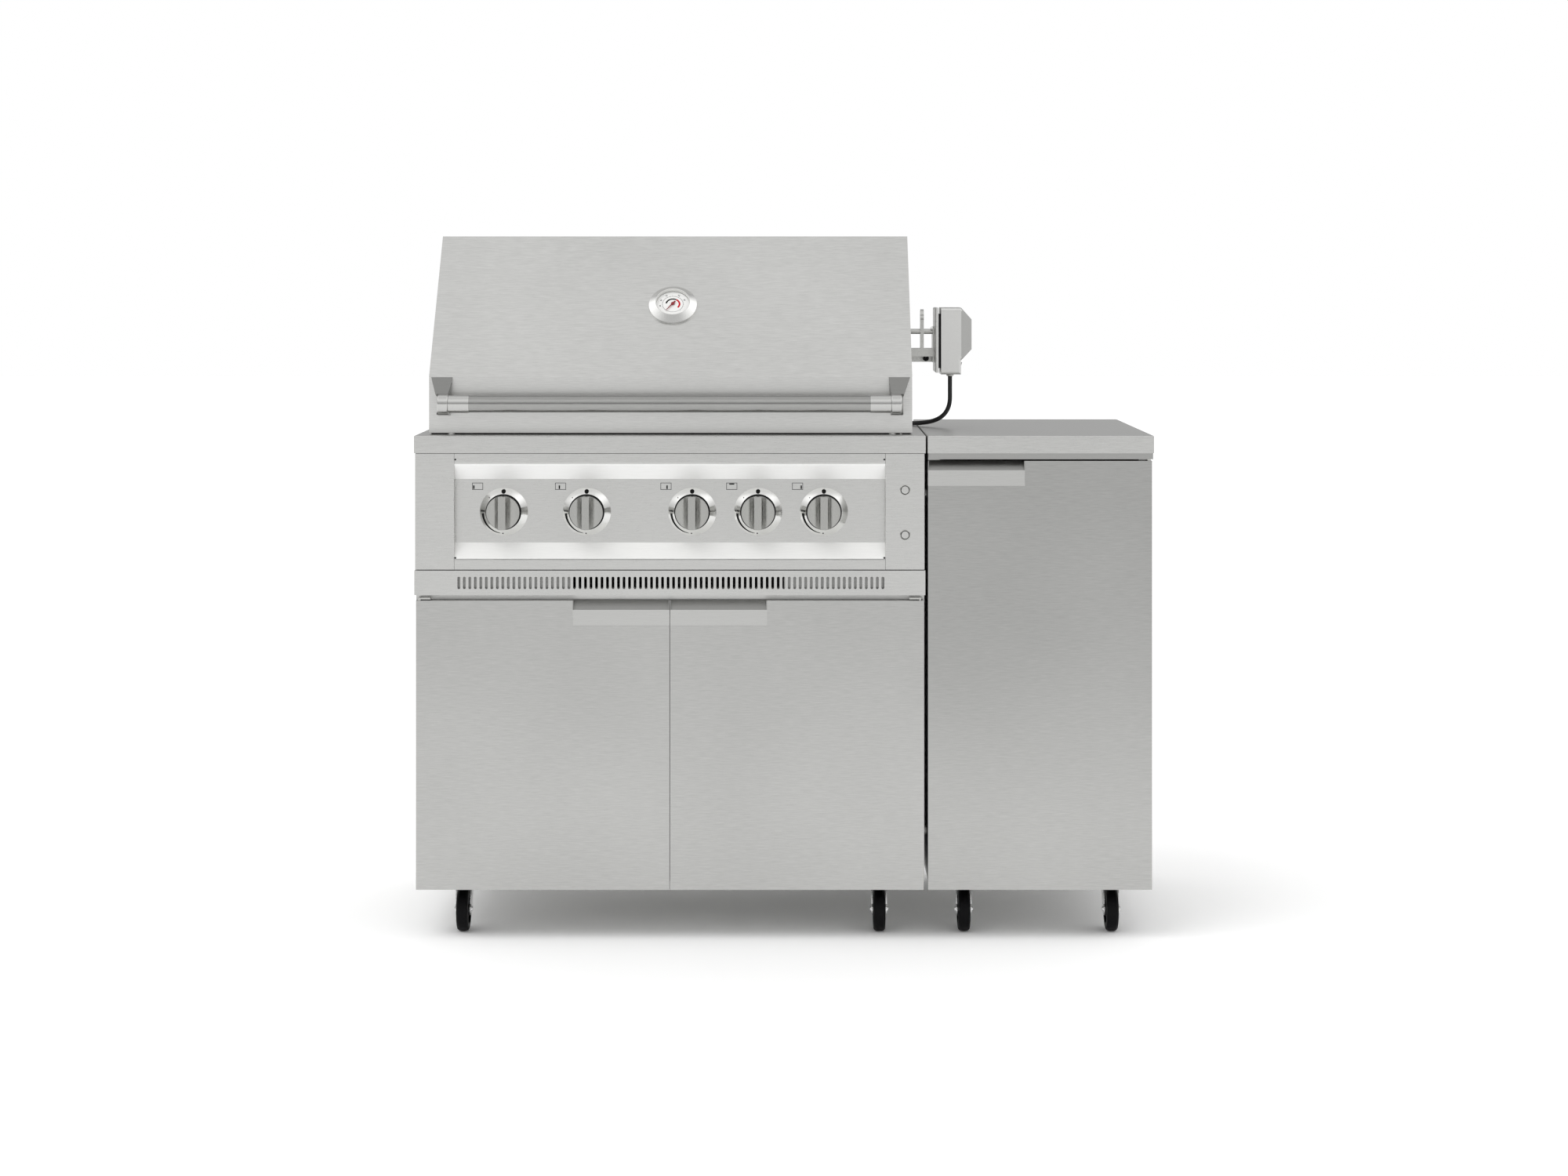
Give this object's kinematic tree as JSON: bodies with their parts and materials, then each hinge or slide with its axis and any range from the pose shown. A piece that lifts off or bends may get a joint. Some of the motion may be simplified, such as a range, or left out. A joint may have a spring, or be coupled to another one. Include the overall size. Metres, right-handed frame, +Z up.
{
  "type": "outdoor kitchen island",
  "caption": "Wheeled outdoor kitchen island: a gas grill cart with a lift-up hood, control knobs and a rotisserie, and a side cabinet with a worktop.",
  "frame": {"origin": "on the floor under the middle of the island", "axes": "+X to the right of a person who faces the island, +Y from its front to its back, +Z up"},
  "size_m": [1.352, 0.667, 1.287],
  "materials": {
    "brushed_sheet": "brushed along its length",
    "polished_steel": "polished",
    "satin_bar": "satin",
    "burner_steel": "matt",
    "cast_knob": "bead blasted",
    "plated_steel": "zinc plated",
    "wheel_rubber": "matt",
    "black_plastic": "matt",
    "cord_rubber": "satin",
    "needle_paint": "painted"
  },
  "bodies": {
    "island": {"button_rings": "polished_steel", "cart_counter": "brushed_sheet", "cart_shell": "brushed_sheet", "castor_plates": "plated_steel", "control_panel": "brushed_sheet", "control_stiles": "brushed_sheet", "cooking_grates": "satin_bar", "cord_coil": "cord_rubber", "cord_gland": "polished_steel", "cord_plug": "black_plastic", "door_pivots": "satin_bar", "firebox": "burner_steel", "gas_manifold": "satin_bar", "knob_bezels": "polished_steel", "main_burners": "burner_steel", "motor_case": "brushed_sheet", "motor_cord": "cord_rubber", "rear_burner": "burner_steel", "rear_housing": "brushed_sheet", "side_counter": "brushed_sheet", "side_shell": "brushed_sheet", "spit_bracket": "satin_bar", "vent_panel": "brushed_sheet"},
    "left_door": {"door_left": "brushed_sheet", "door_left_pull": "brushed_sheet"},
    "right_door": {"door_right": "brushed_sheet", "door_right_pull": "brushed_sheet"},
    "side_cabinet_door": {"side_door": "brushed_sheet", "side_door_pull": "brushed_sheet"},
    "hood": {"hood_shell": "brushed_sheet", "hood_handle": "polished_steel", "handle_arms": "brushed_sheet", "thermometer": "brushed_sheet"},
    "needle": {"thermometer_needle": "needle_paint"},
    "tray": {"drip_tray": "brushed_sheet"},
    "spit": {"spit_rod": "satin_bar"},
    "rocker_switch": {"motor_switch": "black_plastic"},
    "upper_button": {"button_upper": "polished_steel"},
    "lower_button": {"button_lower": "polished_steel"},
    "control_knob_1": {"knob_1": "cast_knob"},
    "control_knob_2": {"knob_2": "cast_knob"},
    "control_knob_3": {"knob_3": "cast_knob"},
    "control_knob_4": {"knob_4": "cast_knob"},
    "control_knob_5": {"knob_5": "cast_knob"},
    "fork_1": {"castor_fork_1": "plated_steel"},
    "brake_1": {"castor_brake_1": "black_plastic"},
    "front_wheel_1": {"castor_wheel_1": "wheel_rubber"},
    "back_wheel_1": {"rear_wheel_1": "wheel_rubber"},
    "fork_2": {"castor_fork_2": "plated_steel"},
    "brake_2": {"castor_brake_2": "black_plastic"},
    "front_wheel_2": {"castor_wheel_2": "wheel_rubber"},
    "back_wheel_2": {"rear_wheel_2": "wheel_rubber"},
    "fork_3": {"castor_fork_3": "plated_steel"},
    "brake_3": {"castor_brake_3": "black_plastic"},
    "front_wheel_3": {"castor_wheel_3": "wheel_rubber"},
    "back_wheel_3": {"rear_wheel_3": "wheel_rubber"},
    "fork_4": {"castor_fork_4": "plated_steel"},
    "brake_4": {"castor_brake_4": "black_plastic"},
    "front_wheel_4": {"castor_wheel_4": "wheel_rubber"},
    "back_wheel_4": {"rear_wheel_4": "wheel_rubber"}
  },
  "joints": [
    {"name": "left_door_hinge", "type": "hinge", "parent": "island", "child": "left_door", "pos_m": [-0.666, -0.2985, 0.103], "axis": [0, 0, -1], "range_deg": [0, 110]},
    {"name": "right_door_hinge", "type": "hinge", "parent": "island", "child": "right_door", "pos_m": [0.249, -0.2985, 0.103], "axis": [0, 0, 1], "range_deg": [0, 110]},
    {"name": "side_door_hinge", "type": "hinge", "parent": "island", "child": "side_cabinet_door", "pos_m": [0.666, -0.2985, 0.103], "axis": [0, 0, 1], "range_deg": [0, 110]},
    {"name": "hood_hinge", "type": "hinge", "parent": "island", "child": "hood", "pos_m": [-0.2085, 0.1555, 1.24], "axis": [-1, 0, 0], "range_deg": [0, 80]},
    {"name": "needle_turn", "type": "hinge", "parent": "hood", "child": "needle", "pos_m": [-0.2085, -0.1451, 1.1553], "axis": [0, 0.7427, -0.6696], "range_deg": [0, 270]},
    {"name": "knob_turn_1", "type": "hinge", "parent": "island", "child": "control_knob_1", "pos_m": [-0.513, -0.2915, 0.77995], "axis": [0, -1, 0], "range_deg": [0, 180]},
    {"name": "knob_turn_2", "type": "hinge", "parent": "island", "child": "control_knob_2", "pos_m": [-0.361, -0.2915, 0.77995], "axis": [0, -1, 0], "range_deg": [0, 180]},
    {"name": "knob_turn_3", "type": "hinge", "parent": "island", "child": "control_knob_3", "pos_m": [-0.168, -0.2915, 0.77995], "axis": [0, -1, 0], "range_deg": [0, 180]},
    {"name": "knob_turn_4", "type": "hinge", "parent": "island", "child": "control_knob_4", "pos_m": [-0.0475, -0.2915, 0.77995], "axis": [0, -1, 0], "range_deg": [0, 180]},
    {"name": "knob_turn_5", "type": "hinge", "parent": "island", "child": "control_knob_5", "pos_m": [0.073, -0.2915, 0.77995], "axis": [0, -1, 0], "range_deg": [0, 180]},
    {"name": "upper_button_press", "type": "slide", "parent": "island", "child": "upper_button", "axis": [0, 1, 0], "range_m": [0, 0.0025], "stiffness_N_per_m": 400, "springref_m": -0.0005},
    {"name": "lower_button_press", "type": "slide", "parent": "island", "child": "lower_button", "axis": [0, 1, 0], "range_m": [0, 0.0025], "stiffness_N_per_m": 400, "springref_m": -0.0005},
    {"name": "tray_slide", "type": "slide", "parent": "island", "child": "tray", "axis": [0, 1, 0], "range_m": [0, 0.3]},
    {"name": "spit_spin", "type": "hinge", "parent": "island", "child": "spit", "pos_m": [0, 0.0035, 1.1045], "axis": [1, 0, 0], "continuous": true},
    {"name": "switch_rock", "type": "hinge", "parent": "island", "child": "rocker_switch", "pos_m": [0.3355, 0.0035, 1.037], "axis": [0, -1, 0], "range_deg": [0, 10]},
    {"name": "swivel_1", "type": "hinge", "parent": "island", "child": "fork_1", "pos_m": [-0.593, -0.1905, 0.1], "axis": [0, 0, 1], "continuous": true},
    {"name": "brake_press_1", "type": "hinge", "parent": "fork_1", "child": "brake_1", "pos_m": [-0.593, -0.2125, 0.086], "axis": [1, 0, 0], "range_deg": [0, 12]},
    {"name": "front_roll_1", "type": "hinge", "parent": "fork_1", "child": "front_wheel_1", "pos_m": [-0.593, -0.2225, 0.04], "axis": [1, 0, 0], "continuous": true},
    {"name": "back_roll_1", "type": "hinge", "parent": "island", "child": "back_wheel_1", "pos_m": [-0.593, 0.2495, 0.04], "axis": [1, 0, 0], "continuous": true},
    {"name": "swivel_2", "type": "hinge", "parent": "island", "child": "fork_2", "pos_m": [0.176, -0.1905, 0.1], "axis": [0, 0, 1], "continuous": true},
    {"name": "brake_press_2", "type": "hinge", "parent": "fork_2", "child": "brake_2", "pos_m": [0.176, -0.2125, 0.086], "axis": [1, 0, 0], "range_deg": [0, 12]},
    {"name": "front_roll_2", "type": "hinge", "parent": "fork_2", "child": "front_wheel_2", "pos_m": [0.176, -0.2225, 0.04], "axis": [1, 0, 0], "continuous": true},
    {"name": "back_roll_2", "type": "hinge", "parent": "island", "child": "back_wheel_2", "pos_m": [0.176, 0.2495, 0.04], "axis": [1, 0, 0], "continuous": true},
    {"name": "swivel_3", "type": "hinge", "parent": "island", "child": "fork_3", "pos_m": [0.3325, -0.1905, 0.1], "axis": [0, 0, 1], "continuous": true},
    {"name": "brake_press_3", "type": "hinge", "parent": "fork_3", "child": "brake_3", "pos_m": [0.3325, -0.2125, 0.086], "axis": [1, 0, 0], "range_deg": [0, 12]},
    {"name": "front_roll_3", "type": "hinge", "parent": "fork_3", "child": "front_wheel_3", "pos_m": [0.3325, -0.2225, 0.04], "axis": [1, 0, 0], "continuous": true},
    {"name": "back_roll_3", "type": "hinge", "parent": "island", "child": "back_wheel_3", "pos_m": [0.3325, 0.2495, 0.04], "axis": [1, 0, 0], "continuous": true},
    {"name": "swivel_4", "type": "hinge", "parent": "island", "child": "fork_4", "pos_m": [0.6055, -0.1905, 0.1], "axis": [0, 0, 1], "continuous": true},
    {"name": "brake_press_4", "type": "hinge", "parent": "fork_4", "child": "brake_4", "pos_m": [0.6055, -0.2125, 0.086], "axis": [1, 0, 0], "range_deg": [0, 12]},
    {"name": "front_roll_4", "type": "hinge", "parent": "fork_4", "child": "front_wheel_4", "pos_m": [0.6055, -0.2225, 0.04], "axis": [1, 0, 0], "continuous": true},
    {"name": "back_roll_4", "type": "hinge", "parent": "island", "child": "back_wheel_4", "pos_m": [0.6055, 0.2495, 0.04], "axis": [1, 0, 0], "continuous": true}
  ]
}
